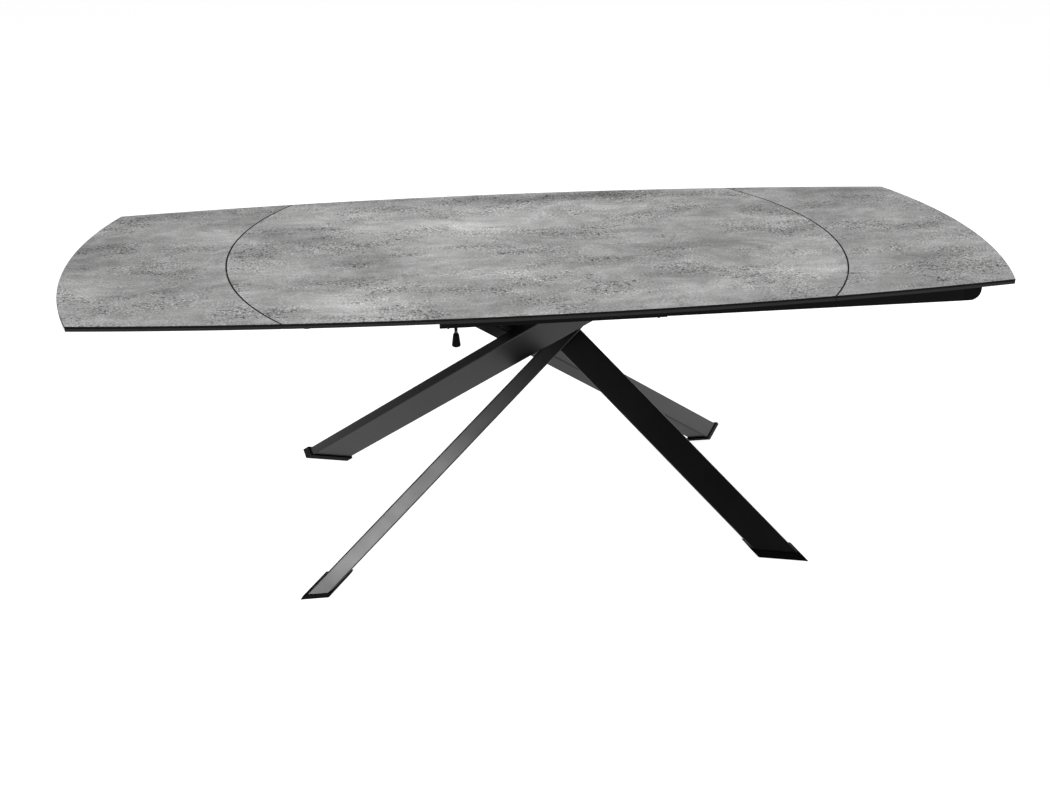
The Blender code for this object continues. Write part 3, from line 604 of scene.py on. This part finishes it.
def bead(name, points):
    """A rippled weld bead along a level line of points."""
    path = []
    for a, b in zip(points, points[1:]):
        steps = max(1, round((b - a).length / BEAD_STEP))
        path += [a.lerp(b, i / steps) for i in range(steps)]
    path.append(points[-1])
    last = len(path) - 1
    loops = []
    for i, centre in enumerate(path):
        along = (path[min(i + 1, last)] - path[max(i - 1, 0)]).normalized()
        across = along.cross(Vector((0, 0, 1))).normalized()
        up = across.cross(along)
        taper = min(1.0, BEAD_END + BEAD_TAPER * min(i, last - i))
        r = BEAD_RADIUS * taper * (1.0 + BEAD_RIPPLE * math.cos(math.pi * i))
        loops.append([centre + across * (r * math.cos(turn)) + up * (r * math.sin(turn))
                      for turn in turns(BEAD_POINTS)])
    finish_mesh(name, loft(loops), BLACK_PAINT, "base", "black_steel", BEAD_SMOOTH_ANGLE)


def leg_weld(corner):
    """A weld bead round the head of a leg, where it meets the mounting plate."""
    verts = [v.co for v in frame["nodes"]["leg_" + corner].data.vertices]
    top = max(v.z for v in verts)
    heads = [v for v in verts if v.z > top - SAME_PLACE]
    ring = [heads[i].copy() for i in convex_hull_2d([v.xy for v in heads])]
    bead("weld_" + corner, ring + ring[:1])


def seam_shade_strip(side, sign):
    """A dark rubber strip filling a seam, fixed to the inner edge of the leaf: painted shade, put where the
    gap between the slabs is dark.
    """
    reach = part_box("centre_glass")[1].x
    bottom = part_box(side + "_leaf_glass")[0].z
    loops = []
    for i in range(SHADE_STRIP_STEPS + 1):
        y = SHADE_STRIP_HALF_LENGTH * (2 * i / SHADE_STRIP_STEPS - 1)
        x = reach - SEAM_RADIUS + math.sqrt(SEAM_RADIUS**2 - y**2)
        near, far = sign * (x + SHADE_STRIP_CLEARANCE), sign * (x + SEAM_GAP - SHADE_STRIP_CLEARANCE)
        loops.append(((near, y, bottom), (far, y, bottom), (far, y, SHADE_STRIP_TOP), (near, y, SHADE_STRIP_TOP)))
    finish_mesh(side + "_seam_shade_strip", loft(loops), RUBBER, side + "_leaf", "black_rubber")


def stop_block(side, sign):
    """A moulded stop under the side bar of a leaf."""
    low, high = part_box(side + "_side_bar")
    place = Matrix.Translation((sign * STOP_X, (low.y + high.y) / 2, low.z - STOP_HEIGHT / 2))
    size = Matrix.Diagonal((STOP_LENGTH, STOP_WIDTH, STOP_HEIGHT, 1))
    bm = bmesh.new()
    bmesh.ops.create_cube(bm, size=1.0)
    bmesh.ops.transform(bm, matrix=place @ size, verts=bm.verts[:])
    round_edges(bm, STOP_EDGE, SOFT_SEGMENTS, any_edge)
    finish_mesh(side + "_stop_block", bm, PLASTIC, side + "_leaf", "black_plastic")


plate_low, plate_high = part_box("mounting_plate")
rail_low, rail_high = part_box("cross_rail_right")
skirt_low, skirt_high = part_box("side_plate_back")
rail_x = (rail_low.x + rail_high.x) / 2
skirt_y = (skirt_low.y + skirt_high.y) / 2

for corner in CORNERS:
    leg_weld(corner)
for place, sign in (("front", -1), ("back", 1)):
    y = sign * (plate_high.y + FRAME_BEAD_OFFSET)
    for number, (start, end) in enumerate(FRAME_BEADS):
        bead(f"frame_weld_{place}_{number}", [Vector((start, y, plate_low.z)), Vector((end, y, plate_low.z))])
for side, sign in SIDES:
    # a dark strip in each seam, as painted shade in the gap
    seam_shade_strip(side, sign)
    fluted_knob(side)
    stop_block(side, sign)
    for number, y in enumerate(PLATE_SCREW_Y):
        socket_screw(f"plate_screw_{side}_{number}", (sign * rail_x, y, plate_low.z),
                     PLATE_SCREW_RADIUS, PLATE_SCREW_HEIGHT)
    for number, x in enumerate(SKIRT_SCREW_X):
        socket_screw(f"skirt_screw_{side}_{number}", (x, -sign * skirt_y, skirt_low.z),
                     SKIRT_SCREW_RADIUS, SKIRT_SCREW_HEIGHT)


# ---------------------------------------------------------------- studio

def studio_floor():
    s = Shader("studio_floor", Roughness=0.9, Specular_IOR_Level=0.1,
               Emission_Color=(1, 1, 1, 1), Emission_Strength=FLOOR_GLOW)
    s.set("Base Color", s.grey(s.line(s.noise(0.6, detail=2.0, roughness=0.55), 0.02, FLOOR_LEVEL)))
    bm = bmesh.new()
    bmesh.ops.create_grid(bm, x_segments=1, y_segments=1, size=FLOOR_HALF)
    mesh = bpy.data.meshes.new("studio_floor")
    bm.to_mesh(mesh)
    bm.free()
    mesh.materials.append(s.material)
    floor = bpy.data.objects.new("studio_floor", mesh)
    bpy.context.scene.collection.objects.link(floor)


def hang(name, lamp, place, target):
    """Puts a lamp at a place, aimed at a target and not seen by the camera."""
    holder = bpy.data.objects.new(name, lamp)
    holder.location = place
    holder.rotation_mode = "QUATERNION"
    holder.rotation_quaternion = (Vector(target) - Vector(place)).to_track_quat("-Z", "Y")
    holder.visible_camera = False
    bpy.context.scene.collection.objects.link(holder)


def panel(name, place, target, size, radiance):
    """A soft rectangular lamp that shines with the given radiance."""
    lamp = bpy.data.lights.new(name, "AREA")
    lamp.shape = "RECTANGLE"
    lamp.size, lamp.size_y = size
    lamp.energy = radiance * math.pi * size[0] * size[1]
    hang(name, lamp, place, target)


def spot(name, place, target, power, cone, blend, radius):
    """A soft-edged spot lamp."""
    lamp = bpy.data.lights.new(name, "SPOT")
    lamp.energy = power
    lamp.spot_size = cone
    lamp.spot_blend = blend
    lamp.shadow_soft_size = radius
    hang(name, lamp, place, target)


def world(level):
    """A dim surround that shows white behind the floor."""
    scene_world = bpy.data.worlds.new("studio")
    scene_world.use_nodes = True
    tree = scene_world.node_tree
    background = tree.nodes["Background"]
    background.inputs["Color"].default_value = (1, 1, 1, 1)
    path = tree.nodes.new("ShaderNodeLightPath")
    strength = tree.nodes.new("ShaderNodeMapRange")
    strength.inputs["To Min"].default_value = level
    strength.inputs["To Max"].default_value = 1.0
    tree.links.new(path.outputs["Is Camera Ray"], strength.inputs["Value"])
    tree.links.new(strength.outputs[0], background.inputs["Strength"])
    bpy.context.scene.world = scene_world


def camera():
    ahead = Vector((math.sin(CAMERA_YAW) * math.cos(CAMERA_PITCH),
                    math.cos(CAMERA_YAW) * math.cos(CAMERA_PITCH), -math.sin(CAMERA_PITCH)))
    right = Vector((math.cos(CAMERA_YAW), -math.sin(CAMERA_YAW), 0))
    up = right.cross(ahead)
    c, s = math.cos(CAMERA_ROLL), math.sin(CAMERA_ROLL)
    right, up = right * c + up * s, up * c - right * s
    data = bpy.data.cameras.new("camera")
    data.lens = CAMERA_LENS
    data.sensor_width = CAMERA_SENSOR
    data.clip_end = CAMERA_REACH
    holder = bpy.data.objects.new("camera", data)
    turn = Matrix((right, up, -ahead)).transposed().to_4x4()
    holder.matrix_world = Matrix.Translation(CAMERA_PLACE) @ turn
    bpy.context.scene.collection.objects.link(holder)
    bpy.context.scene.camera = holder


studio_floor()
world(SURROUND_LEVEL)
panel("overhead", **OVERHEAD_LAMP)
panel("right", **RIGHT_LAMP)
spot("leg_spot", **LEG_LAMP)
camera()
bpy.context.scene.view_settings.view_transform = "Standard"
